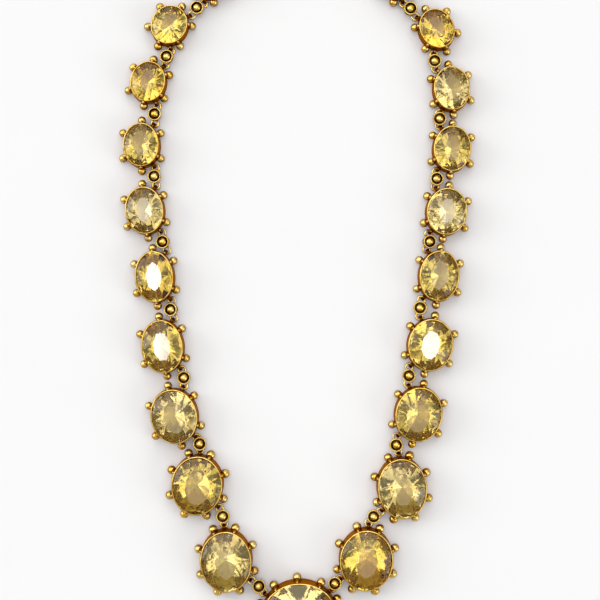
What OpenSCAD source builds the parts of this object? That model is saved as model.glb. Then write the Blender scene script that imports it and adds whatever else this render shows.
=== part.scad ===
// A necklace of graduated oval stones in closed gold settings, lying flat as a whole loop.
// X runs across the necklace, Y from the front stone to the clasp, Z up from the surface.

/* [Stones] */
// Share of the stone's width that its flat table takes
table_share = 0.5; // [0.4:0.01:0.6]
// Height of the crown of a stone with no width, to which crown_share is added
crown_base = 0.3; // [0.2:0.05:0.6]
// Height of the crown for each millimetre of the stone's width
crown_share = 0.09; // [0.06:0.01:0.12]
// Thickness of the stone's edge
girdle_h = 0.2; // [0.1:0.05:0.3]
// Depth of the pavilion for each millimetre of the stone's width
pavilion_share = 0.44; // [0.4:0.01:0.46]

/* [Settings] */
// Height of the rim of a setting with no length, to which rim_share is added
rim_base = 3.2; // [2.8:0.1:3.6]
// Height of the rim for each millimetre of the stone's length
rim_share = 0.2; // [0.18:0.01:0.22]
// How far the rim's outside stands out from the stone's visible edge
rim_out = 0.4; // [0.35:0.01:0.45]
// How far the foot of the wall stands out from the stone's visible edge
foot_out = 0.44; // [0.4:0.01:0.5]
// Thickness of the closed back
back_h = 0.45; // [0.3:0.05:0.6]
// Gap between a stone and the gold around it
stone_gap = 0.09; // [0.08:0.01:0.12]

/* [Granules] */
// Diameter of the granules of a setting with six of them
granule_d = 2.2; // [2:0.05:2.3]
// Diameter of the granules of a larger setting
large_granule_d = 2.35; // [2.2:0.05:2.4]
// How far a granule's centre stands out from the stone's visible edge
granule_out = 1.22; // [1:0.02:1.3]
// Height of a granule's centre as a share of the rim's height
granule_lift = 0.32; // [0.3:0.01:0.4]
// Diameter of a claw where it meets its granule
claw_d = 1.2; // [1:0.05:1.3]
// Diameter of a claw at the bend where it leaves the wall
claw_bend_d = 0.88; // [0.8:0.02:1]
// Diameter of a claw's round tip at the rim
claw_tip_d = 0.8; // [0.7:0.02:0.9]

/* [Links] */
// Thickness of the wire of rings and loops
wire_d = 0.42; // [0.36:0.02:0.44]
// Diameter of a link's ring, at the middle of its wire
ring_d = 1.86; // [1.8:0.02:1.9]
// Diameter of a setting's loop, at the middle of its wire
loop_d = 1.3; // [1.24:0.02:1.34]
// Height of the plane of the links' rings
ring_z = 1.25; // [1.1:0.05:1.5]
// How far a ring's centre stands out from the stone's visible edge
ring_out = 1.68; // [1.66:0.01:1.75]
// Diameter of a link's cup at its beaded edge
cup_d = 3.7; // [3.5:0.05:3.8]
// Height of a link's cup over the plane of its rings
cup_h = 2; // [1.6:0.1:2.4]
// Diameter of the ball in a link's cup
ball_d = 2.04; // [1.9:0.02:2.1]

/* [Clasp] */
// Width of the clasp
clasp_w = 4.2; // [3.6:0.1:5]
// Thickness of the clasp
clasp_h = 2.4; // [2:0.1:3]

/* [Hidden] */
$fn = 64;

// Columns of the table of settings
NAME = 0;
X = 1;
Y = 2;
TURN = 3;
W = 4;
L = 5;
GRANULES = 6;
LEAN = 7;

// A row for each setting, from the clasp down the left side, over the front and up the right side:
// name, place, turn to the left of upright, width and length of the stone as it shows inside the rim,
// number of granules, and how far the link to the next setting leans outwards.
SETTINGS = [
    ["left_11", -8.7, 89.1, -72, 8, 9.2, 6, 5],
    ["left_10", -22.3, 81.2, -55, 8.2, 9.4, 6, 7],
    ["left_9", -33.6, 69.4, -31, 8.8, 9.8, 6, 10],
    ["left_8", -39.2, 54.5, -12, 8.6, 10.1, 6, 9],
    ["left_7", -41, 37.9, 0, 8.9, 10.9, 6, 9],
    ["left_6", -40.1, 20.7, 6.5, 9.5, 11.9, 6, 13],
    ["left_5", -37.5, 3.3, 5, 9.5, 12.9, 6, 15],
    ["left_4", -35.4, -15, 8, 10.3, 13.4, 6, -10],
    ["left_3", -32.3, -33.3, 13, 11.6, 13.8, 6, -12],
    ["left_2", -26.3, -51.4, -4, 12.8, 14.9, 8, -9],
    ["left_1", -18.7, -71.3, 4, 12.9, 15.4, 8, -15],
    ["front", 0.5, -85, 93.5, 16, 18.8, 10, -15],
    ["right_1", 18.1, -71, -4.5, 13.4, 15.4, 8, -14],
    ["right_2", 27.5, -52.2, 5, 12.3, 15.2, 8, -12],
    ["right_3", 31.8, -32.8, -11, 11.7, 13.8, 6, 0],
    ["right_4", 34.9, -14.6, -10.5, 11.2, 13.2, 6, -6],
    ["right_5", 37.2, 3.5, -5, 9.9, 12.8, 6, 15],
    ["right_6", 39.2, 20.4, -7, 10, 11.8, 6, 6],
    ["right_7", 40.6, 36.9, -3, 9.2, 11.4, 6, -2],
    ["right_8", 40.5, 52.7, 6, 8.9, 10.9, 6, -3],
    ["right_9", 36.6, 68.4, 26.5, 8.4, 10.1, 6, 9],
    ["right_10", 25.6, 81.2, 55, 8.2, 9.4, 6, 5],
    ["right_11", 12, 89.1, 72, 8, 9.2, 6, 0]
];
LAST = len(SETTINGS) - 1;
FRONT = LAST / 2;

// Places of the loops, in degrees round the oval from its upper end towards the inner side
LOOPS_OF_6 = [32, 146];
LOOPS_OF_8 = [0, 131];
LOOPS_OF_10 = [34, 146];

// The inner side of a setting is on its right on the left half, and on its left on the right half
function inner(i) = i <= FRONT ? 1 : -1;
function loops(i) =
    let (n = SETTINGS[i][GRANULES])
    n == 6 ? LOOPS_OF_6 : n == 8 ? LOOPS_OF_8 : LOOPS_OF_10;
// The loop that faces the setting before this one, and the loop that faces the next
function loop_before(i) = i <= FRONT ? loops(i)[0] : -loops(i)[1];
function loop_after(i) = i <= FRONT ? loops(i)[1] : -loops(i)[0];

function rim_h(s) = rim_base + rim_share * s[L];
function crown_h(s) = crown_base + crown_share * s[W];
function pavilion_h(s) = min(pavilion_share * s[W], rim_h(s) - rim_below - girdle_h - back_h - 0.2);
// How far the top of the stone's edge lies below the rim
rim_below = 0.42;
// How far the stone's edge lies outside the edge that shows
edge_hidden = 0.1;
// How much wider the end arcs of an oval are
swell = 0.05;
// Height of the wider foot, and the size of the step that rounds the rim
foot_h = 0.5;
rim_step = 0.14;
// How far the room over the back lies inside the stone's visible edge
room_in = 0.15;
// The ledge that carries the stone: its drop below the stone's edge, its height and its width
ledge_below = 0.7;
ledge_h = 0.6;
ledge_in = 0.5;
// Gap over the stone's edge, under the rim that is turned in over it
lip_gap = 0.15;
// How far a cut runs past the face that it opens
past = 0.4;
// The tip of a claw, on the outside of the rim
claw_tip_out = 0.44;
claw_tip_below = 0.52;
// The bend of a claw: how far it stands out, and its height over the granule's centre
claw_bend_out = 0.54;
claw_bend_h = 0.8;
// How much wider a claw's round bend and tip are than the bars that meet there
claw_swell = 0.06;
// The turn, in degrees, of a loop's wire between its two ends in the wall
loop_turn = 280;
// A link's cup: thickness of its edge and wall, depth under the rings, inner floor over them, radii
edge_d = 0.46;
cup_wall = 0.2;
cup_below = 0.7;
cup_floor = 0.9;
cup_base_r = 0.95;
cup_waist_r = 1.3;
// How far the top of the ball stands over the middle of the cup's edge
ball_over = 0.57;
// Depth of the clasp under the plane of the rings, and what its round ends add to their circle
clasp_below = 0.7;
clasp_round = 1.2;

// A point on an oval grown by out all round, at an angle from its upper end, clockwise
function on_oval(s, out, a) = [(s[W] / 2 + out) * sin(a), (s[L] / 2 + out) * cos(a)];
// The same angle's outward direction, and a point that stands out along it
function away(s, a) = let (v = [sin(a) / s[W], cos(a) / s[L]]) v / norm(v);
function beside(s, out, a) = on_oval(s, 0, a) + out * away(s, a);
function turned(v, a) = [v[0] * cos(a) - v[1] * sin(a), v[0] * sin(a) + v[1] * cos(a)];
function ring_at(i, a) =
    let (s = SETTINGS[i])
    [s[X], s[Y]] + turned(beside(s, ring_out, a), s[TURN]);

module place(s) {
    translate([s[X], s[Y], 0]) rotate([0, 0, s[TURN]]) children();
}

// The outline of an oval of four arcs, grown by out all round. The end arcs are a little wider than
// arcs that would just touch the side arcs, so that they cross them cleanly.
module outline(s, out) {
    a = s[L] / 2 + out;
    b = s[W] / 2 + out;
    // The end arc passes through the true oval's point at 45 degrees, k times a below its end
    k = 1 - sqrt(0.5);
    end_r = (b * b / 2 + k * k * a * a) / (2 * k * a);
    side_r = (a * a + b * b - 2 * a * end_r) / (2 * (b - end_r));
    end_y = a - end_r;
    side_x = side_r - b;
    reach = side_r * end_y / (side_r - end_r);
    for (m = [-1, 1]) translate([0, m * (end_y - swell)]) circle(r = end_r + swell);
    intersection() {
        translate([side_x, 0]) circle(r = side_r);
        translate([-side_x, 0]) circle(r = side_r);
        square([4 * b, 2 * reach], center = true);
    }
}

module oval(s, z_low, z_high, out) {
    translate([0, 0, z_low]) linear_extrude(z_high - z_low) outline(s, out);
}

// The gold around a stone: a foot, the wall, and the rim turned in over the stone's edge
module wall(s) {
    top = rim_h(s);
    oval(s, 0, foot_h, foot_out);
    oval(s, foot_h / 2, top - rim_step, rim_out);
    oval(s, top - 2 * rim_step, top, rim_out - rim_step);
}

// The room inside: the hollow over the back, the ledge's opening, the room for the stone, the rim's
module room(s) {
    top = rim_h(s);
    edge_top = top - rim_below;
    ledge_top = edge_top - girdle_h - ledge_below;
    ledge_low = ledge_top - ledge_h;
    oval(s, back_h, ledge_low, -room_in);
    oval(s, ledge_low - past, ledge_top + past, -ledge_in);
    oval(s, ledge_top, edge_top + lip_gap, edge_hidden + stone_gap);
    oval(s, edge_top, top + past, 0);
}

// Stands a shape at p, with its upright axis turned towards q
module aimed(p, q) {
    run = q - p;
    translate(p) rotate([0, acos(run[2] / norm(run)), atan2(run[1], run[0])]) children();
}

// A round bar between two points, with a diameter at each
module bar(p, q, p_d, q_d) {
    aimed(p, q) cylinder(h = norm(q - p), d1 = p_d, d2 = q_d);
}

// A claw runs down the wall from the rim and bends outwards to the granule that ends it
module claw(s, a) {
    d = s[GRANULES] == 6 ? granule_d : large_granule_d;
    low = concat(on_oval(s, granule_out, a), [granule_lift * rim_h(s)]);
    bend = concat(on_oval(s, claw_bend_out, a), [low[2] + claw_bend_h]);
    high = concat(on_oval(s, claw_tip_out, a), [rim_h(s) - claw_tip_below]);
    aimed(low, bend) sphere(d = d);
    bar(low, bend, claw_d, claw_bend_d);
    aimed(bend, high) sphere(d = claw_bend_d + claw_swell);
    bar(bend, high, claw_bend_d, claw_tip_d);
    aimed(high, bend) sphere(d = claw_tip_d + claw_swell);
}

// An upright loop soldered to the wall: the ends of its wire are inside the wall
module loop(s, a) {
    p = beside(s, ring_out - ring_d / 2, a);
    out = away(s, a);
    translate([p[0], p[1], ring_z])
        rotate([0, 0, atan2(out[1], out[0])])
            rotate([90, 0, 0])
                rotate_extrude(start = -loop_turn / 2, angle = loop_turn)
                    translate([loop_d / 2, 0]) circle(d = wire_d);
}

module setting(i) {
    s = SETTINGS[i];
    step = 360 / s[GRANULES];
    first = s[GRANULES] == 6 ? 0 : step / 2;
    color("goldenrod") place(s) difference() {
        union() {
            wall(s);
            for (k = [0 : s[GRANULES] - 1]) claw(s, first + k * step);
            loop(s, loop_before(i));
            loop(s, loop_after(i));
        }
        room(s);
    }
}

// Heights and radii of a cut stone's corners, as shares of its half width and of its crown or pavilion
mid_share = 0.79;
low_share = 0.3;

// A cut stone: flat table, eight kite facets with stars and pairs between them, girdle, pavilion
module stone(i) {
    s = SETTINGS[i];
    out = edge_hidden;
    main = 45;
    top = rim_h(s) - rim_below;
    bottom = top - girdle_h;
    crown = crown_h(s);
    pavilion = pavilion_h(s);
    // A kite stays flat when its side corners lie on the line from its top to its bottom corner
    mid_z = top + crown * (1 - mid_share * cos(main / 2)) / (1 - table_share);
    low_z = bottom - pavilion * (1 - low_share * cos(main / 2));
    function ring(share, count, shift, z) = [
        for (k = [0 : count - 1])
            let (p = on_oval(s, out, (k + shift) * 360 / count) * share)
            [p[0], p[1], z]
    ];
    points = concat(
        ring(table_share, 8, 0, top + crown),
        ring(mid_share, 8, 0.5, mid_z),
        ring(1, 16, 0, top),
        ring(1, 16, 0, bottom),
        ring(low_share, 8, 0.5, low_z),
        [[0, 0, bottom - pavilion]]
    );
    function T(k) = (k + 8) % 8;
    function M(k) = 8 + (k + 8) % 8;
    function U(k) = 16 + (k + 16) % 16;
    function B(k) = 32 + (k + 16) % 16;
    function P(k) = 48 + (k + 8) % 8;
    culet = 56;
    faces = concat(
        [[for (k = [0 : 7]) T(k)]],
        [for (k = [0 : 7]) [T(k), M(k), T(k + 1)]],
        [for (k = [0 : 7]) [T(k), M(k - 1), U(2 * k), M(k)]],
        [for (k = [0 : 7]) [M(k), U(2 * k), U(2 * k + 1)]],
        [for (k = [0 : 7]) [M(k), U(2 * k + 1), U(2 * k + 2)]],
        [for (k = [0 : 15]) [U(k + 1), U(k), B(k), B(k + 1)]],
        [for (k = [0 : 7]) [P(k), B(2 * k + 1), B(2 * k)]],
        [for (k = [0 : 7]) [P(k), B(2 * k + 2), B(2 * k + 1)]],
        [for (k = [0 : 7]) [culet, P(k), B(2 * k), P(k - 1)]]
    );
    color("khaki") place(s) polyhedron(points, faces);
}

// A flat ring that lies in the plane of the links' rings
module flat_ring() {
    rotate_extrude() translate([ring_d / 2, 0]) circle(d = wire_d);
}

// A link between two ring centres: a deep cup with a round edge and a ball in it, and its two rings
module link(p, q, lean) {
    edge_r = (cup_d - edge_d) / 2;
    run = q - p;
    mid = (p + q) / 2;
    translate([mid[0], mid[1], ring_z])
        rotate([0, 0, atan2(run[1], run[0])])
            rotate([lean, 0, 0]) {
                rotate_extrude()
                    polygon([
                        [0, -cup_below],
                        [cup_base_r, -cup_below],
                        [cup_waist_r, -cup_below / 2],
                        [edge_r + cup_wall / 2, cup_h],
                        [edge_r - cup_wall / 2, cup_h],
                        [cup_waist_r, cup_floor],
                        [0, cup_floor]
                    ]);
                translate([0, 0, cup_h]) rotate_extrude() translate([edge_r, 0]) circle(d = edge_d);
                translate([0, 0, cup_h + ball_over - ball_d / 2]) sphere(d = ball_d);
                for (side = [-1, 1]) translate([side * norm(run) / 2, 0, 0]) flat_ring();
            }
}

module links(first, last) {
    color("darkgoldenrod")
        for (i = [first : last])
            link(ring_at(i, loop_after(i)), ring_at(i + 1, loop_before(i + 1)), SETTINGS[i][LEAN]);
}

// The plain clasp joins the two settings at the back: a body with round ends and a ring at each end
module clasp() {
    p = ring_at(LAST, loop_after(LAST));
    q = ring_at(0, loop_before(0));
    run = q - p;
    mid = (p + q) / 2;
    body_l = norm(run) - ring_d;
    color("goldenrod") translate([mid[0], mid[1], 0]) rotate([0, 0, atan2(run[1], run[0])]) {
        translate([0, 0, ring_z - clasp_below]) linear_extrude(clasp_h) intersection() {
            square([body_l, clasp_w], center = true);
            circle(d = body_l + clasp_round);
        }
        for (side = [-1, 1]) translate([side * norm(run) / 2, 0, ring_z]) flat_ring();
    }
}

for (i = [0 : LAST]) {
    setting(i);
    stone(i);
}
links(0, FRONT - 1);  // links_left
links(FRONT, LAST - 1);  // links_right
clasp();
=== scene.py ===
# %% [markdown]
# # A necklace of citrines in gold
#
# Twenty-three oval citrines, each in its own closed gold setting, lie on a pale surface as one loop.
# The smallest are at the back by the clasp and the largest is at the front. Round every setting stand
# small gold balls on claws, and between the settings a deep little cup with a ball in it carries a ring
# at each end, threaded through the settings' loops.
#
# The solids of the frame already have the right places and sizes. This lesson makes the pieces that
# are seen: each but the clasp is modelled with Blender's own tools, from a primitive, and put where its
# solid is.

# %% Load the frame
import math

import bmesh
import bpy
from mathutils import Matrix, Vector, noise


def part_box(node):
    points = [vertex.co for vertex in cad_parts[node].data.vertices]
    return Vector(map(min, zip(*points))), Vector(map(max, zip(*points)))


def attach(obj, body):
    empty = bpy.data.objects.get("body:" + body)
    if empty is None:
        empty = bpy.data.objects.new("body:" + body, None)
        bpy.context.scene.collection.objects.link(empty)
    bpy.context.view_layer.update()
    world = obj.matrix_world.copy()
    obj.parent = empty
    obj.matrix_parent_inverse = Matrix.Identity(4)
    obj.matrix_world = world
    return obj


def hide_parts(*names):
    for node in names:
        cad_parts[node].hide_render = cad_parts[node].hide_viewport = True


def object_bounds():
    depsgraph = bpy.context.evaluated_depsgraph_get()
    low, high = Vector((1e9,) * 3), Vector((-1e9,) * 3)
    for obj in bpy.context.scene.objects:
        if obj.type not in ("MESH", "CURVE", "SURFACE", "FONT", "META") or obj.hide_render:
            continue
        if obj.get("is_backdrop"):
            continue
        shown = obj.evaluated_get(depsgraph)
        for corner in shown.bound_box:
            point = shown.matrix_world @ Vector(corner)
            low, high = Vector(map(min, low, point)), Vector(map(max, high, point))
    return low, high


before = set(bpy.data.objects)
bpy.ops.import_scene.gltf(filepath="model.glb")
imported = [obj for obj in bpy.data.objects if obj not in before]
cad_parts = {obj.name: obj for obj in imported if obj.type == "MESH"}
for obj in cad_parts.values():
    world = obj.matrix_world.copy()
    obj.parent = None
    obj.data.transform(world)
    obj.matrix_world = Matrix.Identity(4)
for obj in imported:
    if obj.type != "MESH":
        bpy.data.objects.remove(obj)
cad_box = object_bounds()
MM = 0.001
print("the frame is", [round(side / MM, 1) for side in cad_box[1] - cad_box[0]], "mm")

# %% [markdown]
# ## Where the settings lie
#
# The stones of the frame say where each setting is, how it is turned and how large its oval is, so no
# list of places is needed. The corner that is furthest from the middle is the end of the oval's long
# axis. The width is measured across that axis. A tenth of a millimetre of the stone's edge is hidden
# under the rim all round. How many balls a setting has goes by its width.

# %% Read the ovals from the frame's stones
EDGE_HIDDEN = 0.1
PER_SIDE = 11
EIGHT_BALLS_FROM = 6.0
TEN_BALLS_FROM = 8.0
NAMES = (
    [f"left_{step}" for step in range(PER_SIDE, 0, -1)]
    + ["front"]
    + [f"right_{step}" for step in range(1, PER_SIDE + 1)]
)


class Oval:
    """The oval of a stone as it shows inside its rim, in millimetres, and how it lies."""

    def __init__(self, name):
        low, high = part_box("stone_" + name)
        middle = (low + high) / 2
        corners = [corner.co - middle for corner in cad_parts["stone_" + name].data.vertices]
        long_axis = max((corner.xy for corner in corners), key=lambda reach: reach.length)
        if long_axis.y < 0 and name != "front" or long_axis.x > 0 and name == "front":
            long_axis = -long_axis
        across = Vector((long_axis.y, -long_axis.x)).normalized()
        self.name = name
        self.place = Vector((middle.x, middle.y, 0))
        self.turn = math.atan2(-long_axis.x, long_axis.y)
        self.half_l = long_axis.length / MM - EDGE_HIDDEN
        self.half_w = max(abs(corner.xy.dot(across)) for corner in corners) / MM - EDGE_HIDDEN
        self.stone_top = high.z / MM
        self.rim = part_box("setting_" + name)[1].z / MM
        self.balls = 6 if self.half_w < EIGHT_BALLS_FROM else 8 if self.half_w < TEN_BALLS_FROM else 10

    def point(self, out, angle):
        """A point that stands out by so much, at an angle from the upper end, clockwise."""
        return Vector(((self.half_w + out) * math.sin(angle), (self.half_l + out) * math.cos(angle)))

    def outward(self, angle):
        """The direction straight out of the wall at that angle."""
        return Vector((math.sin(angle) / self.half_w, math.cos(angle) / self.half_l)).normalized()

    def beside(self, out, angle):
        """A point straight out from the wall at that angle."""
        return self.point(0, angle) + out * self.outward(angle)

    def to_frame(self):
        """The matrix that takes millimetres on the bench to the setting's place in the frame."""
        return Matrix.Translation(self.place) @ Matrix.Rotation(self.turn, 4, "Z") @ Matrix.Scale(MM, 4)


OVALS = [Oval(name) for name in NAMES]
for oval in OVALS[:3]:
    size = f"{2 * oval.half_w:.1f} by {2 * oval.half_l:.1f} mm"
    print(f"{oval.name}: {size}, rim {oval.rim:.2f} mm high, {oval.balls} balls")

# %% [markdown]
# ## A bench to work at
#
# A jeweller clamps a piece at the bench and fits it afterwards. These helpers do the same. A piece is
# modelled round the origin with one unit to a millimetre, because in metres many tools would take points
# a tenth of a millimetre apart for one. Then its mesh is carried to its place in the frame, and the
# object itself stays at the origin.

# %% Helpers for picking, stepping and copying


def take(piece):
    """Makes one piece the only thing that is selected."""
    bpy.ops.object.select_all(action="DESELECT")
    piece.select_set(True)
    bpy.context.view_layer.objects.active = piece


def pick(piece, kind, wanted):
    """Selects the faces, edges or vertices whose middle and normal are wanted, in edit mode."""
    bpy.ops.mesh.select_mode(type=kind)
    bpy.ops.mesh.select_all(action="DESELECT")
    work = bmesh.from_edit_mesh(piece.data)
    for part in {"FACE": work.faces, "EDGE": work.edges, "VERT": work.verts}[kind]:
        if kind == "FACE":
            middle, normal = part.calc_center_median(), part.normal
        elif kind == "EDGE":
            middle, normal = (part.verts[0].co + part.verts[1].co) / 2, None
        else:
            middle, normal = part.co, part.normal
        if wanted(middle, normal):
            part.select_set(True)
    bmesh.update_edit_mesh(piece.data)


def step(grow_x, grow_y, rise):
    """Extrudes the picked face, moves it up or down and grows it."""
    bpy.ops.mesh.extrude_region_move(TRANSFORM_OT_translate={"value": (0, 0, rise)})
    bpy.ops.transform.resize(value=(grow_x, grow_y, 1))


def copy_of(master, name, matrix):
    """A copy with a mesh of its own, with its place in the mesh."""
    piece = master.copy()
    piece.data = master.data.copy()
    piece.data.transform(matrix)
    piece.name = piece.data.name = name
    bpy.context.scene.collection.objects.link(piece)
    return piece


def joined(pieces, name):
    """Several pieces as one."""
    bpy.ops.object.select_all(action="DESELECT")
    for piece in pieces:
        piece.select_set(True)
    bpy.context.view_layer.objects.active = pieces[0]
    bpy.ops.object.join()
    whole = bpy.context.object
    whole.name = whole.data.name = name
    return whole


def discard(*masters):
    """Takes masters off the bench once they are copied."""
    for master in masters:
        bpy.data.objects.remove(master)


print("on the bench:", ", ".join(tool.__name__ for tool in (take, pick, step, copy_of, joined, discard)))

# %% [markdown]
# ## Shader maths in plain signs
#
# A material is a graph of nodes, and sums are easier to read as sums. A `Value` wraps one output of a
# node, and adding or multiplying values adds the Math nodes. The reflected signs let a sum start with a
# plain number, as in `1 - mask`.

# %% A value with signs for sums


class Value:
    """One output in a material, with signs for sums."""

    def __init__(self, finish, output):
        self.finish = finish
        self.output = output

    def sum(self, operation, first, second):
        return self.finish.node("ShaderNodeMath", {"operation": operation}, {0: first, 1: second})

    def __add__(self, other):
        return self.sum("ADD", self, other)

    def __sub__(self, other):
        return self.sum("SUBTRACT", self, other)

    def __rsub__(self, other):
        return self.sum("SUBTRACT", other, self)

    def __mul__(self, other):
        return self.sum("MULTIPLY", self, other)

    def __pow__(self, other):
        return self.sum("POWER", self, other)

    __radd__ = __add__
    __rmul__ = __mul__


print("signs that add a Math node: + - * **")

# %% [markdown]
# ## A finish
#
# A `Finish` is one material. Its `node` method makes any node from its type, its settings and what goes
# into its sockets, and the other methods are short names for the nodes that come up again and again.
# Patterns lie on Object coordinates, so that they stay on the metal from every side.

# %% A material that is built up node by node


class Finish:
    """A material that is built up node by node."""

    def __init__(self, name, **sockets):
        self.material = bpy.data.materials.new(name)
        self.material.use_nodes = True
        self.tree = self.material.node_tree
        self.surface = self.tree.nodes["Principled BSDF"]
        self.place = self.node("ShaderNodeTexCoord", result="Object")
        self.set(**sockets)

    def plug(self, socket, value):
        if isinstance(value, Value):
            self.tree.links.new(value.output, socket)
        else:
            socket.default_value = value

    def node(self, kind, settings=None, sockets=None, result=0):
        made = self.tree.nodes.new(kind)
        for setting, value in (settings or {}).items():
            setattr(made, setting, value)
        for socket, value in (sockets or {}).items():
            self.plug(made.inputs[socket], value)
        return Value(self, made.outputs[result])

    def noise(self, per_mm, detail=2.0, roughness=0.5):
        """Cloudy noise with so many lumps to a millimetre."""
        sockets = {"Vector": self.place, "Scale": per_mm / MM, "Detail": detail, "Roughness": roughness}
        return self.node("ShaderNodeTexNoise", sockets=sockets)

    def band(self, factor, low, high):
        """A mask that climbs from 0 at low to 1 at high."""
        return self.node("ShaderNodeMapRange", sockets={"Value": factor, "From Min": low, "From Max": high})

    def mix(self, share, first, second, how="MIX"):
        """Two colours mixed by a share."""
        settings = {"data_type": "RGBA", "blend_type": how}
        return self.node("ShaderNodeMix", settings, {0: share, 6: first, 7: second}, result=2)

    def upward(self):
        """How far the surface faces up: 1 on a flat top, 0 on an upright wall."""
        facing = self.node("ShaderNodeNewGeometry", result="Normal")
        return self.node("ShaderNodeSeparateXYZ", sockets={0: facing}, result="Z")

    def bump(self, height, size_mm):
        """Relief of so many millimetres for the surface's normal."""
        sockets = {"Strength": 1.0, "Distance": size_mm * MM, "Height": height}
        self.plug(self.surface.inputs["Normal"], self.node("ShaderNodeBump", sockets=sockets))

    def set(self, **sockets):
        for socket, value in sockets.items():
            self.plug(self.surface.inputs[socket.replace("_", " ")], value)
        return self


print("a finish can:", ", ".join(name for name in vars(Finish) if not name.startswith("_")))

# %% [markdown]
# ## The colours of the gold
#
# The gold is old and has a bloomed skin: a fine matt grain from the pickle. It is bright yellow on top,
# where it is rubbed, and orange-brown down the sides. This is wear and also painted light: a painted lit
# top over painted shade on the sides. The links' sides are painted darker still, as painted shade with
# some dirt. The darkest colour is painted shade in the corners, where old polish and grease also gather.

# %% Choose the colours of the gold
WORN_GOLD = (1.0, 0.83, 0.34, 1)
GOLD = (1.0, 0.60, 0.07, 1)
# The next two colours go on every slope that does not face up: tarnish, and painted shade on the sides. The
# last is painted shade in the corners, with some dirt.
PATINA = (0.31, 0.115, 0.004, 1)
DARK_PATINA = (0.12, 0.032, 0.001, 1)
GRIME = (0.06, 0.012, 0.0, 1)
GLANCING_GOLD = (0.80, 0.45, 0.09, 1)
print("from rubbed to soiled:", [colour[:3] for colour in (WORN_GOLD, GOLD, PATINA, DARK_PATINA, GRIME)])

# %% [markdown]
# ## The skin of the gold
#
# The lighter share comes from the normal's height. It is wear, because a cloth reaches what faces up,
# and also a painted lit top, with painted shade on every slope below it. The corners are darkened with
# ambient occlusion, which is dark where the metal shades itself, so that is painted shade, with some dirt.
# A fine grain and larger lumps give the skin its relief, and the grain also blurs the edge of the
# painted corner shade. Where that shade is painted the gold is also duller. One function makes every
# gold, from its shaded side colour, the slopes where the lighter top starts and is complete, and the
# reach of the painted corner shade.

# %% Make the golds
PATCHES_PER_MM = 0.6
GRAIN_PER_MM = 9.0
LUMPS_PER_MM = 1.6
RELIEF = 0.004


def make_gold(name, patina, worn_from, worn_at, corner):
    """Gold worn and painted lit where it faces up between two slopes, painted shade in corners of a size.
    """
    gold = Finish(name, Metallic=1.0, Specular_Tint=GLANCING_GOLD)
    patches = gold.band(gold.noise(PATCHES_PER_MM, detail=3.0), 0.35, 0.68)
    grain = gold.noise(GRAIN_PER_MM, detail=3.0, roughness=0.65)
    lumps = gold.noise(LUMPS_PER_MM, detail=1.0)
    settings = {"samples": 8, "only_local": True}
    open_sky = gold.node("ShaderNodeAmbientOcclusion", settings, {"Distance": corner * MM}, result="AO")
    # The lighter top is wear and a painted lit top, and the slopes below it get the painted side shade.
    touched = gold.band(gold.upward() + 0.3 * (patches - 0.5), worn_from, worn_at)
    # Ambient occlusion darkens and dulls the corners: painted shade, with some dirt.
    soiled = 1 - gold.band(open_sky + 0.22 * (grain - 0.5), 0.30, 0.86)
    colour = gold.mix(touched, patina, gold.mix(patches, GOLD, WORN_GOLD))
    gold.set(
        Base_Color=gold.mix(soiled, colour, GRIME),
        Roughness=0.25 + 0.08 * patches + 0.08 * grain + 0.25 * soiled,
    )
    gold.bump(grain + 3.0 * lumps, RELIEF)
    return gold.material


bright_gold = make_gold("bloomed_gold", PATINA, 0.30, 0.80, 0.9)
# The links' gold has the darker side colour: painted shade, with some dirt.
link_gold = make_gold("rubbed_gold", DARK_PATINA, 0.25, 0.80, 0.3)
# The loops' lighter top starts above any face, so their gold is painted shade nearly all over.
loop_gold = make_gold("soiled_gold", DARK_PATINA, 1.00, 1.30, 0.5)
# The cups' lighter top starts high, so they are mostly the painted side shade.
cup_gold = make_gold("cupped_gold", PATINA, 0.85, 1.35, 0.4)
# The clasp's lighter top starts high too, so even its flat top is mostly painted shade.
clasp_gold = make_gold("handled_gold", PATINA, 0.75, 1.45, 0.9)
print("golds:", ", ".join(gold.name for gold in (bright_gold, link_gold, loop_gold, cup_gold, clasp_gold)))

# %% [markdown]
# ## The inside of a setting
#
# A closed setting of this kind has a leaf of pale foil behind the stone, to send the light back. It has
# tarnished to a greenish grey on the flats, and the gold of the walls has stayed yellow. Both are seen
# only through the stones, so cloudy stains are detail enough.

# %% Make the foiled inside
STAINS_PER_MM = 0.5


def make_inside():
    """Tarnished foil on the flats, and gold that was never polished on the walls."""
    inside = Finish("foiled_gold", Metallic=0.5)
    stains = inside.band(inside.noise(STAINS_PER_MM, detail=3.0), 0.3, 0.7)
    foil = inside.mix(stains, (0.40, 0.48, 0.36, 1), (0.64, 0.73, 0.56, 1))
    wall = inside.mix(stains, (1.0, 0.74, 0.34, 1), (1.0, 0.84, 0.48, 1))
    inside.set(
        Base_Color=inside.mix(inside.band(inside.upward(), 0.3, 0.8), wall, foil),
        Roughness=0.45 + 0.2 * stains,
    )
    return inside.material


inner_gold = make_inside()
print("the inside:", inner_gold.name)

# %% [markdown]
# ## The citrine
#
# Citrine is yellow quartz, with a refractive index of 1.55. It is clear: what is seen in a stone is the
# room, the lamps and the inside of the setting, folded by the facets. The colour lies in soft zones, as
# the crystal grew. An old hand-held lap leaves the facets slightly waved, all but the table, which was
# polished last on a true plate. The waves break the folded pictures up.

# %% Make the citrines
ZONES_PER_MM = 0.16
WAVES_PER_MM = 0.45
WAVE_HEIGHT = 0.07


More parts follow.
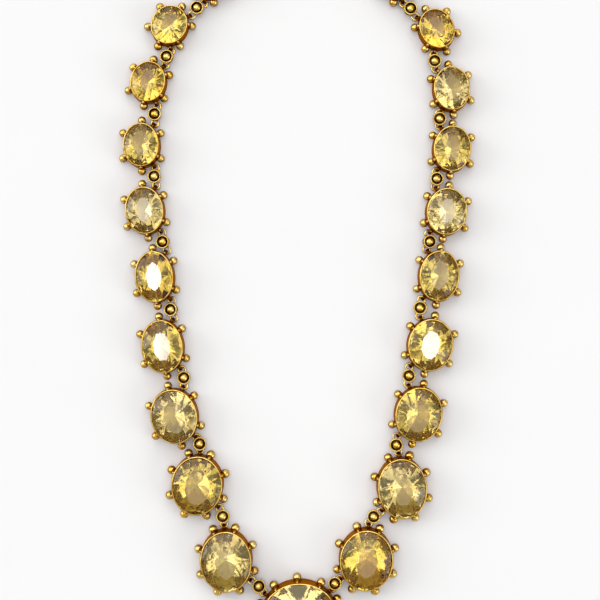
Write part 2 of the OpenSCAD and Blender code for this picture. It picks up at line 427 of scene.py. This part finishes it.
def make_citrine(name, light_zone, deep_zone):
    stone = Finish(name, Roughness=0.06, IOR=1.55, Transmission_Weight=1.0)
    zones = stone.band(stone.noise(ZONES_PER_MM, detail=1.0), 0.35, 0.65)
    off_table = 1 - stone.band(stone.upward(), 0.93, 0.98)
    stone.bump(stone.noise(WAVES_PER_MM) * off_table, WAVE_HEIGHT)
    return stone.set(Base_Color=stone.mix(zones, light_zone, deep_zone)).material


CITRINES = {
    "pale": make_citrine("citrine_pale", (1.0, 0.79, 0.31, 1), (0.99, 0.73, 0.22, 1)),
    "straw": make_citrine("citrine_straw", (1.0, 0.76, 0.19, 1), (0.99, 0.69, 0.11, 1)),
    "deep": make_citrine("citrine_deep", (1.0, 0.72, 0.13, 1), (0.98, 0.62, 0.07, 1)),
}
print("citrines:", ", ".join(CITRINES))

# %% [markdown]
# ## The cut stone
#
# A lapidary grinds a stone on a flat lap, one facet after another, each a plane that takes a slice off.
# The bisect tool does just that. The rough is a drum of sixteen sides with a radius of one. Each cut is
# a plane through three points, and what lies outside it is thrown away. Cut round, the stone is only
# stretched to its oval afterwards, which keeps every facet flat.
#
# The crown has eight kites from the girdle to the table, eight stars between them, and sixteen facets
# along the girdle. A kite's plane touches the girdle and passes through a corner of the table. The
# pavilion below has eight large facets to the point, and sixteen along the girdle. Two stones are
# ground, turned half a facet from each other.

# %% Cut along a plane
ON_PLANE = 1e-5
SAME_POINT = 1e-4
EIGHTH = math.tau / 8


def ring_point(radius, eighths, height):
    """A point round the stone, so many eighths of a turn from its end."""
    return Vector((radius * math.sin(eighths * EIGHTH), radius * math.cos(eighths * EIGHTH), height))


def cut_away(point, normal):
    """Cuts the piece in edit mode along a plane and throws away what lies on the normal's side."""
    bpy.ops.mesh.select_all(action="SELECT")
    bpy.ops.mesh.bisect(
        plane_co=point, plane_no=normal, use_fill=True, clear_outer=True, threshold=ON_PLANE
    )


def grind(first, second, third):
    """Cuts the piece along the plane through three points and throws the outside away."""
    normal = (second - first).cross(third - first).normalized()
    if normal.dot(first + second + third) < 0:
        normal.negate()
    cut_away(first, normal)
    bpy.ops.mesh.select_all(action="SELECT")
    bpy.ops.mesh.remove_doubles(threshold=SAME_POINT)


print("an eighth of the stone:", round(math.degrees(EIGHTH)), "degrees")

# %% [markdown]
# ## The facets
#
# The table is longer than the stretched circle would make it, as hand-cut tables are. The height of the
# small facets' corner follows from the kites beside it, so that every kite stays one plane.

# %% Grind two round stones
TABLE_WIDTH = 0.43
TABLE_LENGTH = 0.57
CROWN_MIDDLE = 0.85
PAVILION_MIDDLE = 0.3


def table_corner(eighths):
    corner = ring_point(1, eighths, 1)
    return Vector((TABLE_WIDTH * corner.x, TABLE_LENGTH * corner.y, 1))


def kite_height(eighths, point):
    """How high the kite that starts at this place of the girdle is over a point."""
    return (1 - point.dot(ring_point(1, eighths, 0))) / (1 - table_corner(eighths).xy.length)


def grind_stone(start):
    """Grinds a round stone whose first kite starts so many eighths past the end of the stone."""
    bpy.ops.object.select_all(action="DESELECT")
    bpy.ops.mesh.primitive_cylinder_add(vertices=16, radius=1, depth=2)
    rough = bpy.context.object
    bpy.ops.object.mode_set(mode="EDIT")
    for number in range(8):
        k = number + start
        girdle, between, next_girdle = (ring_point(1, k + part, 0) for part in (0, 0.5, 1))
        side = ring_point(CROWN_MIDDLE, k + 0.5, 0)
        side.z = min(kite_height(k, side), kite_height(k + 1, side))
        across = ring_point(1, k + 2, 0)
        grind(table_corner(k), girdle, girdle + across)
        grind(side, girdle, between)
        grind(side, between, next_girdle)
        grind(table_corner(k), side, table_corner(k + 1))
    for number in range(8):
        k = number + start
        depth = PAVILION_MIDDLE * math.cos(EIGHTH / 2) - 1
        side = ring_point(PAVILION_MIDDLE, k + 0.5, depth)
        between = ring_point(1, k + 0.5, 0)
        grind(Vector((0, 0, -1)), side, ring_point(PAVILION_MIDDLE, k - 0.5, depth))
        grind(side, ring_point(1, k, 0), between)
        grind(side, between, ring_point(1, k + 1, 0))
    bpy.ops.object.mode_set(mode="OBJECT")
    return rough


cuts = [grind_stone(0), grind_stone(0.5)]
print("the cuts have", [len(cut.data.polygons) for cut in cuts], "facets")

# %% [markdown]
# ## The stones in their places
#
# Each stone is stretched to its own oval. The crown and the pavilion are stretched apart from each
# other, and a thin straight girdle is left between them. The two cuts take turns along the row. No two
# hand-cut stones are alike, so some tables are ground a last time, a degree or so askew, and the stones
# are of three shades, from pale straw to deep yellow. `ASKEW` has the degrees, down and aside.

# %% Stretch, grind the tables and place the stones
GIRDLE = 0.2
RIM_BELOW = 0.42
BACK = 0.45
POINT_OVER_BACK = 0.2
PAVILION_SHARE = 0.80
TABLE_HALF = 0.5
ASKEW = {
    "left_7": (1.2, 0.8),
    "left_3": (-1.0, 1.0),
    "left_2": (-1.0, 1.5),
    "right_5": (0.8, -0.6),
    "right_8": (-1.0, 1.0),
    "right_3": (-1.5, -1.0),
}
DEEP = ("left_8", "left_5", "right_9", "right_1")
PALE = ("left_6", "left_3", "left_1", "right_2", "right_6", "right_8", "front")


def slice_off(piece, point, normal):
    """Cuts the piece along a plane and throws away what lies on the normal's side."""
    take(piece)
    bpy.ops.object.mode_set(mode="EDIT")
    cut_away(point, normal)
    bpy.ops.object.mode_set(mode="OBJECT")


def cut_stone(oval):
    top = oval.rim - RIM_BELOW
    crown = oval.stone_top - top
    pavilion = min(PAVILION_SHARE * oval.half_w, top - GIRDLE - BACK - POINT_OVER_BACK)
    cut = cuts[OVALS.index(oval) % 2]
    stone = copy_of(cut, "cut_stone_" + oval.name, Matrix.Identity(4))
    for corner in stone.data.vertices:
        corner.co.x *= oval.half_w + EDGE_HIDDEN
        corner.co.y *= oval.half_l + EDGE_HIDDEN
        if corner.co.z > -SAME_POINT:
            corner.co.z = top + max(corner.co.z, 0) * crown
        else:
            corner.co.z = top - GIRDLE + corner.co.z * pavilion
    if oval.name in ASKEW:
        down, aside = (math.radians(angle) for angle in ASKEW[oval.name])
        normal = Vector((math.sin(aside), math.sin(down), 1)).normalized()
        reach = TABLE_HALF * (oval.half_w * abs(math.sin(aside)) + oval.half_l * abs(math.sin(down)))
        slice_off(stone, Vector((0, 0, oval.stone_top - reach)), normal)
    stone.data.transform(oval.to_frame())
    shade = "deep" if oval.name in DEEP else "pale" if oval.name in PALE else "straw"
    stone.data.materials.append(CITRINES[shade])
    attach(stone, "root")
    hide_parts("stone_" + oval.name)
    return stone


stones = [cut_stone(oval) for oval in OVALS]
print(len(stones), "stones, with", sum(len(stone.data.polygons) for stone in stones), "facets")

# %% [markdown]
# ## The round setting
#
# A setting is a strip of gold bent round its stone, on a closed back. Its rim is thinned and burnished
# in over the stone's edge. The wall is modelled once, for a round stone of five millimetres' radius,
# as a disc that is extruded again and again: out over the foot, up the outside, over the rim, down
# the inside to the ledge that carries the stone, and down to the back. Each row of the table is one
# extrusion, with its radius and its height.

# %% The wall's profile, and tools to draw it up
ROUND = 5.0
ROUND_RIM = 6.0
FOOT = 5.38
WALL_PROFILE = [
    (5.44, 0.06),
    (5.44, 0.40),
    (5.36, 0.52),
    (5.34, 0.75),
    (5.38, 4.10),
    (5.39, 4.90),
    (5.36, 5.30),
    (5.30, 5.66),
    (5.26, 5.85),
    (5.20, 5.96),
    (5.16, 5.985),
    (5.05, 6.00),
    (5.00, 5.95),
    (5.00, 5.73),
    (5.19, 5.73),
    (5.19, 4.68),
    (4.50, 4.68),
    (4.50, 4.08),
    (4.85, 4.08),
    (4.85, 0.45),
]
SOFT_TURN = math.radians(38)


def draw_up(radius, height, profile):
    """Extrudes the picked face through a profile of radii and heights."""
    for next_radius, next_height in profile:
        step(next_radius / radius, next_radius / radius, next_height - height)
        radius, height = next_radius, next_height


def close_up():
    """Leaves edit mode with one closed skin, its faces outwards and its soft turns shaded smooth."""
    bpy.ops.mesh.select_all(action="SELECT")
    bpy.ops.mesh.remove_doubles(threshold=SAME_POINT)
    bpy.ops.mesh.normals_make_consistent(inside=False)
    bpy.ops.object.mode_set(mode="OBJECT")
    bpy.ops.object.shade_smooth_by_angle(angle=SOFT_TURN)


print("the profile has", len(WALL_PROFILE), "steps, up to", max(height for _, height in WALL_PROFILE), "mm")

# %% [markdown]
# ## The wall drawn up
#
# Nothing else is selected when the disc is taken into edit mode and drawn up. Its inside gets the
# second finish: the faces within the wall, above the back and under the rim's turned-in edge.

# %% Draw up the wall of a round setting
INSIDE_RADIUS = 5.195
INSIDE_FROM = 0.4
INSIDE_TO = 5.735
bpy.ops.object.select_all(action="DESELECT")
bpy.ops.mesh.primitive_circle_add(vertices=96, radius=FOOT, fill_type="NGON")
round_setting = bpy.context.object
bpy.ops.object.mode_set(mode="EDIT")
bpy.ops.mesh.select_all(action="SELECT")
draw_up(FOOT, 0.0, WALL_PROFILE)
close_up()
round_setting.data.materials.append(bright_gold)
round_setting.data.materials.append(inner_gold)
for face in round_setting.data.polygons:
    middle = face.center
    face.material_index = int(middle.xy.length < INSIDE_RADIUS and INSIDE_FROM < middle.z < INSIDE_TO)
print("the wall has", len(round_setting.data.polygons), "faces")

# %% [markdown]
# ## A granule on its claw
#
# A granule is a snippet of gold that drew itself into a ball when it was melted on charcoal. The claw
# is drawn out of it: the ball's upper cap is extruded again and again, thinner each time, and the domed
# cap itself ends as the claw's round tip. A subdivision softens the shoulder between the two. The claw
# is modelled straight, and is bent against the wall when it is fitted.

# %% Model the granule and its claw
GRANULE_RADIUS = 1.1
CAP_SLOPE = 0.82
SHOULDER = 0.99
CLAW_STEPS = [(0.92, 0.12), (0.93, 0.45), (0.95, 0.5), (0.96, 0.5), (0.97, 0.5), (0.86, 0.12)]
bpy.ops.object.select_all(action="DESELECT")
bpy.ops.mesh.primitive_uv_sphere_add(segments=16, ring_count=10, radius=1.0)
granule = bpy.context.object
bpy.ops.object.mode_set(mode="EDIT")
pick(granule, "FACE", lambda middle, normal: normal.z > CAP_SLOPE)
for narrowing, rise in CLAW_STEPS:
    step(narrowing, narrowing, rise)
bpy.ops.object.mode_set(mode="OBJECT")
soft = granule.modifiers.new("soft", "SUBSURF")
soft.levels = soft.render_levels = 1
bpy.ops.object.modifier_apply(modifier=soft.name)
full_size = GRANULE_RADIUS / max(corner.co.x for corner in granule.data.vertices)
granule.data.transform(Matrix.Scale(full_size, 4))
bpy.ops.object.mode_set(mode="EDIT")
close_up()
granule.data.materials.append(bright_gold)
TIP = max(corner.co.z for corner in granule.data.vertices)
print("the claw's tip is", round(TIP, 2), "mm over the granule's centre")

# %% [markdown]
# ## The loop on the wall
#
# A loop is a strip of gold bent round, with both ends soldered to the wall. A torus is cut off by a
# plane where it meets the wall, and the cut ends are spread a little, as solder runs round a foot. Then
# it is widened across, so that its wire becomes a strip. Its gold is painted dark nearly all over, as
# painted shade.

# %% Model the loop
WIRE = 0.21
LOOP_RADIUS = 0.8
LOOP_CUT = -0.5
BY_THE_CUT = 0.01
SOLDER_SPREAD = (1, 1.25, 1.06)
STRIP = 2.3
bpy.ops.object.select_all(action="DESELECT")
bpy.ops.mesh.primitive_torus_add(
    major_segments=28,
    minor_segments=10,
    major_radius=LOOP_RADIUS,
    minor_radius=WIRE,
    rotation=(math.pi / 2, 0, 0),
)
loop = bpy.context.object
bpy.ops.object.transform_apply(location=False, rotation=True, scale=False)
slice_off(loop, Vector((LOOP_CUT, 0, 0)), Vector((-1, 0, 0)))
bpy.ops.object.mode_set(mode="EDIT")
pick(loop, "VERT", lambda middle, normal: middle.x < LOOP_CUT + BY_THE_CUT)
bpy.ops.transform.resize(value=SOLDER_SPREAD)
bpy.ops.mesh.select_all(action="SELECT")
bpy.ops.transform.resize(value=(1, STRIP, 1))
close_up()
loop.data.materials.append(loop_gold)
print("the loop has", len(loop.data.polygons), "faces")

# %% [markdown]
# ## The wall fitted to its stone
#
# A copy of the round wall is drawn out to each oval: what lies further out than the stone keeps its
# distance from it, so that the metal has the same thickness all round. The floor inside is only
# stretched. The rim was pushed down by hand, so it wavers by a few hundredths of a millimetre.

# %% Fit a wall
FLOOR_RADIUS = 4.0
RIM_FROM = 3.0
WAVER_WITHIN = 0.35
WAVER_INSIDE = 5.3
WAVER = 0.05
RIM_WAVES_PER_MM = 0.9
TO_MM = 1e3


def fit_wall(oval):
    wall = copy_of(round_setting, "wall", Matrix.Identity(4))
    for corner in wall.data.vertices:
        radius = corner.co.xy.length
        angle = math.atan2(corner.co.x, corner.co.y)
        if radius > FLOOR_RADIUS:
            corner.co.xy = oval.point(radius - ROUND, angle)
        else:
            corner.co.xy = oval.point(0, angle) * (radius / ROUND)
        if corner.co.z > RIM_FROM:
            corner.co.z += oval.rim - ROUND_RIM
            waver = noise.noise(Vector((*corner.co.xy, 0)) * RIM_WAVES_PER_MM + TO_MM * oval.place)
            if corner.co.z > oval.rim - WAVER_WITHIN and radius < WAVER_INSIDE:
                corner.co.xy += WAVER * waver * oval.outward(angle)
                corner.co.z -= WAVER * abs(waver)
    return wall


print("the rim wavers by", WAVER, "mm at most")

# %% [markdown]
# ## Granules and loops fitted to the wall
#
# A granule stands out from the wall at a third of its height. Its straight claw is bent in a curve of
# three points: the shoulder, the bend near the wall and the tip at the rim. A loop stands upright on the
# wall, where the next link begins. `LOOPS` has the angles of a setting's two loops, in degrees, by its
# number of granules.

# %% Fit a granule and a loop
LOOPS = {6: (32, 146), 8: (0, 131), 10: (34, 146)}
GRANULE_OUT = 1.22
GRANULE_LIFT = 0.32
BEND_OUT = 0.52
BEND_HEIGHT = 0.8
CLAW_OUT = 0.44
CLAW_BELOW = 0.16
LOOP_OUT = 0.75
RING_HEIGHT = 1.25


def fit_granule(oval, angle, size):
    """A granule at its place, with its claw bent in a curve against the wall and up to the rim."""
    low = Vector((*oval.point(GRANULE_OUT, angle), GRANULE_LIFT * oval.rim))
    bend = Vector((*oval.point(BEND_OUT, angle), low.z + BEND_HEIGHT))
    high = Vector((*oval.point(CLAW_OUT, angle), oval.rim - CLAW_BELOW))
    along = (bend - low).normalized()
    across = along.cross(Vector((0, 0, 1))).normalized()
    root = low + SHOULDER * along
    ball = copy_of(granule, "granule", Matrix.Identity(4))
    for corner in ball.data.vertices:
        x, y, z = corner.co
        if z <= SHOULDER:
            corner.co = low + size * (x * across.cross(along) + y * across + z * along)
        else:
            t = (z - SHOULDER) / (TIP - SHOULDER)
            middle = (1 - t) ** 2 * root + 2 * t * (1 - t) * bend + t * t * high
            heading = ((1 - t) * (bend - root) + t * (high - bend)).normalized()
            corner.co = middle + x * across.cross(heading) + y * across
    return ball


def fit_loop(oval, angle):
    foot = oval.beside(LOOP_OUT, angle)
    out = oval.outward(angle)
    place = Matrix.Translation((foot.x, foot.y, RING_HEIGHT))
    return copy_of(loop, "loop", place @ Matrix.Rotation(math.atan2(out.y, out.x), 4, "Z"))


def loop_angles(number):
    """The angles of the loops that face the setting before and the setting after."""
    first, last = (math.radians(angle) for angle in LOOPS[OVALS[number].balls])
    return (first, last) if number <= PER_SIDE else (-last, -first)


front_loops = [round(math.degrees(angle)) for angle in loop_angles(PER_SIDE)]
print("the front's loops are at", front_loops, "degrees")

# %% [markdown]
# ## Every setting joined
#
# Granules go round at equal angles. On a small setting one stands at the end of the oval, and on the
# larger ones the end lies between two. No two are quite the same size. Wall, granules and loops become
# one piece, as the gold is soldered, and the piece takes the place of the frame's solid.

# %% Join the settings
LARGE_GRANULE = 1.068
GRANULE_SIZE = 0.97
UNEVEN = 0.024


def fit_setting(number):
    oval = OVALS[number]
    gap = math.tau / oval.balls
    start, full = (0, 1.0) if oval.balls == 6 else (gap / 2, LARGE_GRANULE)
    parts = [fit_wall(oval)]
    for k in range(oval.balls):
        size = full * (GRANULE_SIZE + UNEVEN * math.sin(5 * k + 3 * number))
        parts.append(fit_granule(oval, start + k * gap, size))
    for angle in loop_angles(number):
        parts.append(fit_loop(oval, angle))
    setting = joined(parts, "gold_setting_" + oval.name)
    setting.data.transform(oval.to_frame())
    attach(setting, "root")
    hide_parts("setting_" + oval.name)
    return setting


settings = [fit_setting(number) for number in range(len(OVALS))]
faces = sum(len(setting.data.polygons) for setting in settings)
print(len(settings), "settings, with", faces, "faces")

# %% [markdown]
# ## The link's cup
#
# Between two settings hangs a deep little cup. It was pressed from sheet, with a small flat foot and a
# wall that widens upwards. It is drawn up from a disc as the wall of the setting was, outside first,
# then over the edge and down the inside.

# %% Model the cup
CUP_FOOT = 0.85
CUP_BOTTOM = -0.7
CUP_PROFILE = [
    (0.93, -0.64),
    (1.28, -0.36),
    (1.36, 0.30),
    (1.58, 1.40),
    (1.71, 1.98),
    (1.53, 1.98),
    (1.42, 1.45),
    (1.30, 0.90),
]
bpy.ops.object.select_all(action="DESELECT")
bpy.ops.mesh.primitive_circle_add(
    vertices=40, radius=CUP_FOOT, fill_type="NGON", location=(0, 0, CUP_BOTTOM)
)
cup = bpy.context.object
bpy.ops.object.transform_apply(location=True, rotation=False, scale=False)
bpy.ops.object.mode_set(mode="EDIT")
bpy.ops.mesh.select_all(action="SELECT")
draw_up(CUP_FOOT, CUP_BOTTOM, CUP_PROFILE)
close_up()
cup.data.materials.append(cup_gold)
print("one cup has", len(cup.data.polygons), "faces")

# %% [markdown]
# ## The milled edge
#
# A milled wire runs round the cup's edge: a round wire that was rolled under a notched wheel. A torus
# with three rings to a notch is made, and every third ring is drawn in along its normals.

# %% Mill the edge
EDGE_RADIUS = 1.62
EDGE_WIRE = 0.23
CUP_HEIGHT = 2.0
MILLS = 24
MILL_DEPTH = 0.085
bpy.ops.object.select_all(action="DESELECT")
bpy.ops.mesh.primitive_torus_add(
    major_segments=3 * MILLS, minor_segments=10, major_radius=EDGE_RADIUS, minor_radius=EDGE_WIRE
)
milled = bpy.context.object
bpy.ops.object.mode_set(mode="EDIT")


def in_notch(middle, normal):
    """Whether a point lies on every third ring of the torus."""
    return round(math.atan2(middle.y, middle.x) / math.tau * 3 * MILLS) % 3 == 0


pick(milled, "VERT", in_notch)
bpy.ops.transform.shrink_fatten(value=-MILL_DEPTH)
bpy.ops.mesh.select_all(action="SELECT")
bpy.ops.transform.translate(value=(0, 0, CUP_HEIGHT))
close_up()
print(MILLS, "notches round the edge")

# %% [markdown]
# ## The ball in the cup
#
# The ball nearly fills the cup, so that a dark groove is left between them. It gets a foot by extruding
# the cap that stands on the cup's floor, as solder would leave it.

# %% Model the ball
BALL_RADIUS = 1.14
BALL_HEIGHT = 1.50
FOOT_SLOPE = -0.85
FOOT_SPREAD = 1.5
FOOT_DEPTH = 0.02
bpy.ops.object.select_all(action="DESELECT")
bpy.ops.mesh.primitive_uv_sphere_add(segments=28, ring_count=16, radius=BALL_RADIUS)
ball = bpy.context.object
bpy.ops.object.mode_set(mode="EDIT")
pick(ball, "FACE", lambda middle, normal: normal.z < FOOT_SLOPE)
step(FOOT_SPREAD, FOOT_SPREAD, -FOOT_DEPTH)
bpy.ops.mesh.select_all(action="SELECT")
bpy.ops.transform.translate(value=(0, 0, BALL_HEIGHT))
close_up()
print("the ball stands", round(BALL_HEIGHT + BALL_RADIUS - CUP_HEIGHT, 2), "mm over the middle of the edge")

# %% [markdown]
# ## The ring
#
# At each end of a cup is a ring, soldered to it, that lies flat and passes through the loop of a
# setting. It is a bent wire too, so it shows the little swelling of a soldered joint: a few rings of the
# torus are fattened where it touches the cup.

# %% Model the ring
RING_RADIUS = 0.93
RING_WIRE = 0.27
JOINT_SWELLING = 0.03
JOINT_FROM = 0.6
JOINT_HALF = 0.15
bpy.ops.object.select_all(action="DESELECT")
bpy.ops.mesh.primitive_torus_add(
    major_segments=32, minor_segments=10, major_radius=RING_RADIUS, minor_radius=RING_WIRE
)
ring = bpy.context.object
bpy.ops.object.mode_set(mode="EDIT")
pick(ring, "VERT", lambda middle, normal: middle.x > JOINT_FROM and abs(middle.y) < JOINT_HALF)
bpy.ops.transform.shrink_fatten(value=JOINT_SWELLING)
close_up()
for master in (milled, ball, ring):
    master.data.materials.append(link_gold)
print("one ring has", len(ring.data.polygons), "faces")

# %% [markdown]
# ## The links laid out
#
# The parts of a link are copied to every gap, and its two rings go as far apart as the gap is long, so
# that each lies in its loop. A link has a little play in its loops and leans a few degrees. `LEAN` says
# how much, link by link. Each side's eleven links are one piece, as in the frame.

# %% Lay the links
RING_OUT = 1.68
LEAN = [5, 7, 10, 9, 9, 13, 15, -10, -12, -9, -15, -15, -14, -12, 0, -6, 15, 6, -2, -3, 9, 5]


def ring_place(number, angle):
    point = OVALS[number].beside(RING_OUT, angle)
    return OVALS[number].to_frame() @ Vector((*point, RING_HEIGHT))


def lay_link(number):
    here = ring_place(number, loop_angles(number)[1])
    there = ring_place(number + 1, loop_angles(number + 1)[0])
    run = there - here
    turn = Matrix.Rotation(math.atan2(run.y, run.x), 4, "Z")
    lean = Matrix.Rotation(math.radians(LEAN[number]), 4, "X")
    place = Matrix.Translation((here + there) / 2) @ turn @ lean @ Matrix.Scale(MM, 4)
    half = run.length / MM / 2
    parts = [copy_of(master, "part", place) for master in (cup, milled, ball)]
    first_end = Matrix.Translation((-half, 0, 0))
    second_end = Matrix.Translation((half, 0, 0)) @ Matrix.Rotation(math.pi, 4, "Z")
    parts += [copy_of(ring, "ring", place @ end) for end in (first_end, second_end)]
    return parts


def lay_links(side, numbers):
    chain = joined([part for number in numbers for part in lay_link(number)], "cup_links_" + side)
    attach(chain, "root")
    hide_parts("links_" + side)
    return chain


links = [lay_links("left", range(PER_SIDE)), lay_links("right", range(PER_SIDE, 2 * PER_SIDE))]
print("links:", [len(side.data.polygons) for side in links], "faces")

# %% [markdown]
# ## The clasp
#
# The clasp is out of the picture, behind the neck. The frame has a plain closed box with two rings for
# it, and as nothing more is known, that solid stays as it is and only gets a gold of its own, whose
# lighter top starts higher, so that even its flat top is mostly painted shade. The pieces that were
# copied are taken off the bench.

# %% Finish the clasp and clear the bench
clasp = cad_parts["clasp"]
clasp.data.materials.clear()
clasp.data.materials.append(clasp_gold)
discard(*cuts, round_setting, granule, loop, cup, milled, ball, ring)
counts = f"{len(stones)} stones, {len(settings)} settings, {len(links)} rows of links"
print("the object is", counts, "and the", clasp.name)

# %% [markdown]
# ## A table to lie on
#
# The necklace lies on white card. The plane's white is very faintly clouded. It is only a stage, not
# part of the object.

# %% Lay the card
CARD_SIZE = 12
JUST_BELOW = -0.00001
CLOUDS_PER_MM = 0.02
bpy.ops.object.select_all(action="DESELECT")
bpy.ops.mesh.primitive_plane_add(size=CARD_SIZE, location=(0, 0, JUST_BELOW))
card = bpy.context.object
card.name = "white_card"
paper = Finish("white_card", Roughness=0.7)
clouds = paper.noise(CLOUDS_PER_MM)
paper.set(Base_Color=paper.mix(clouds, (0.87, 0.875, 0.885, 1), (0.90, 0.90, 0.91, 1)))
card.data.materials.append(paper.material)
card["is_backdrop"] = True
print("the card is", CARD_SIZE, "m wide")

# %% [markdown]
# ## The light
#
# Gold and cut stones show the room in them, so the room is made with care. It is the world's light, a
# function of the direction alone, and has the same helpers as a finish. `toward` says how nearly a
# direction points at something, which gives round lights. `lamp` gives a small square one near upright.

# %% Tools for the sky
world = bpy.data.worlds.new("soft_room")
bpy.context.scene.world = world
world.use_nodes = True


class Sky(Finish):
    """The same helpers, for the light of the room."""

    def __init__(self, world):
        self.tree = world.node_tree
        self.surface = self.tree.nodes["Background"]
        self.place = self.node("ShaderNodeTexCoord", result="Generated")


sky = Sky(world)
across, along, upwards = (
    sky.node("ShaderNodeSeparateXYZ", sockets={0: sky.place}, result=axis) for axis in "XYZ"
)
from_middle = across ** 2.0
SOFT_EDGE = 1.4


def toward(direction, edge, heart):
    """A round light in a direction, from its edge to its full heart, both in degrees from its middle."""
    settings = {"operation": "DOT_PRODUCT"}
    sockets = {0: sky.place, 1: Vector(direction).normalized()}
    nearness = sky.node("ShaderNodeVectorMath", settings, sockets, result="Value")
    return sky.band(nearness, math.cos(math.radians(edge)), math.cos(math.radians(heart)))


def lamp(x, y, half_x, half_y):
    """A soft-edged square of light near the camera, placed and sized by sines from upright."""
    from_x, from_y = (across - x) ** 2.0, (along - y) ** 2.0
    over_x = sky.band(from_x, SOFT_EDGE * half_x ** 2, half_x ** 2)
    over_y = sky.band(from_y, SOFT_EDGE * half_y ** 2, half_y ** 2)
    return sky.band(upwards, 0, 0.1) * (over_x * over_y)


print("the sky can:", ", ".join((toward.__name__, lamp.__name__)))

# %% [markdown]
# ## The room that the gold mirrors
#
# A large soft panel stands a little beyond the necklace, under a pale ceiling, and two low windows at the
# sides put a second highlight on every granule. Two small lamps flank the camera, with a dim glow above
# each and a faint veil of light round it. A table that lies flat throws the light from beside the camera
# straight back, so some tables turn white, some take a grey veil and the rest stay clear.

# %% Furnish the room
PANEL, WINDOWS, VEIL, GLOW, LAMPS = 1.12, 3.2, 1.5, 5.0, 22.0
BARE_ROOM, CEILING, FAR_WALL = 0.05, 0.46, 0.2
panel = toward((-0.08, 0.50, 1), edge=44, heart=24)
ceiling = sky.band(upwards, 0.0, 0.9)
far_wall = sky.band(along, 0.3, 0.9)
windows = toward((-0.9, 0.2, 0.45), edge=23, heart=13)
windows += 0.7 * toward((0.85, -0.35, 0.45), edge=23, heart=13)
lamps = lamp(-0.099, -0.006, 0.014, 0.038) + lamp(0.082, -0.030, 0.009, 0.014)
glow = lamp(-0.097, 0.060, 0.012, 0.018) + lamp(0.092, 0.040, 0.012, 0.036)
veil = sky.band(upwards, 0, 0.1) * sky.band(from_middle + 0.25 * along ** 2.0, 0.040, 0.008)
room = BARE_ROOM + CEILING * ceiling + FAR_WALL * far_wall
mirrored = room + PANEL * panel + WINDOWS * windows + VEIL * veil + GLOW * glow + LAMPS * lamps
print("the lamps are", round(LAMPS / PANEL), "times as bright as the panel")

# %% [markdown]
# ## The room that the stones see
#
# What leaves a stone after it has been folded in it sees the same room more softly: a dark one, with a
# box of light on either side, one at the top and a dim ring of light low down all round. The Light Path
# node tells the two apart.

# %% Soften the room for the stones and switch the light on
DARK_ROOM, PALE_TOP, BOXES, TOP_BOX, LOW_RING = 0.09, 0.06, 1.1, 0.8, 0.85
WHITE = (1.0, 0.995, 0.985, 1)
box_height = sky.band((along - 0.03) ** 2.0, 0.30, 0.18)
boxes = sky.band(from_middle, 0.020, 0.038) * sky.band(from_middle, 0.50, 0.38) * box_height
top_box = sky.band(from_middle + (along - 0.16) ** 2.0, 0.018, 0.008)
low_ring = sky.band(upwards, 0.0, 0.3) * sky.band(from_middle + along ** 2.0, 0.10, 0.40)
folded = DARK_ROOM + PALE_TOP * sky.band(upwards, 0.0, 0.6)
folded += BOXES * boxes + TOP_BOX * top_box + LOW_RING * low_ring
through = sky.node("ShaderNodeLightPath", result="Is Transmission Ray")
light = mirrored + through * (folded - mirrored)
sky.tree.links.new(light.output, sky.surface.inputs["Strength"])
sky.surface.inputs["Color"].default_value = WHITE
print("the room's light takes", len(sky.tree.nodes), "nodes")

# %% [markdown]
# ## The camera
#
# The picture is taken from straight above, 42 centimetres up, and takes in 159 millimetres of the card.
# The lens follows from the two.

# %% Set up the camera
HEIGHT = 0.42
FIELD = 0.159
AIM = (0.0007, -0.0028)
camera = bpy.data.objects.new("camera", bpy.data.cameras.new("camera"))
bpy.context.scene.collection.objects.link(camera)
camera.location = (*AIM, HEIGHT)
camera.data.lens = camera.data.sensor_width * HEIGHT / FIELD
bpy.context.scene.camera = camera
bpy.context.scene.view_settings.view_transform = "Standard"
print("the lens is", round(camera.data.lens), "mm long")

# %% [markdown]
# ## The sizes
#
# What was made must not stand out of the frame's box, so both boxes are written down and compared.

# %% Write down the sizes and finish
made_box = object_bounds()
outside_by = [*(cad_box[0] - made_box[0]), *(made_box[1] - cad_box[1])]
print("furthest outside the frame's box:", round(max(outside_by) / MM, 4), "mm")
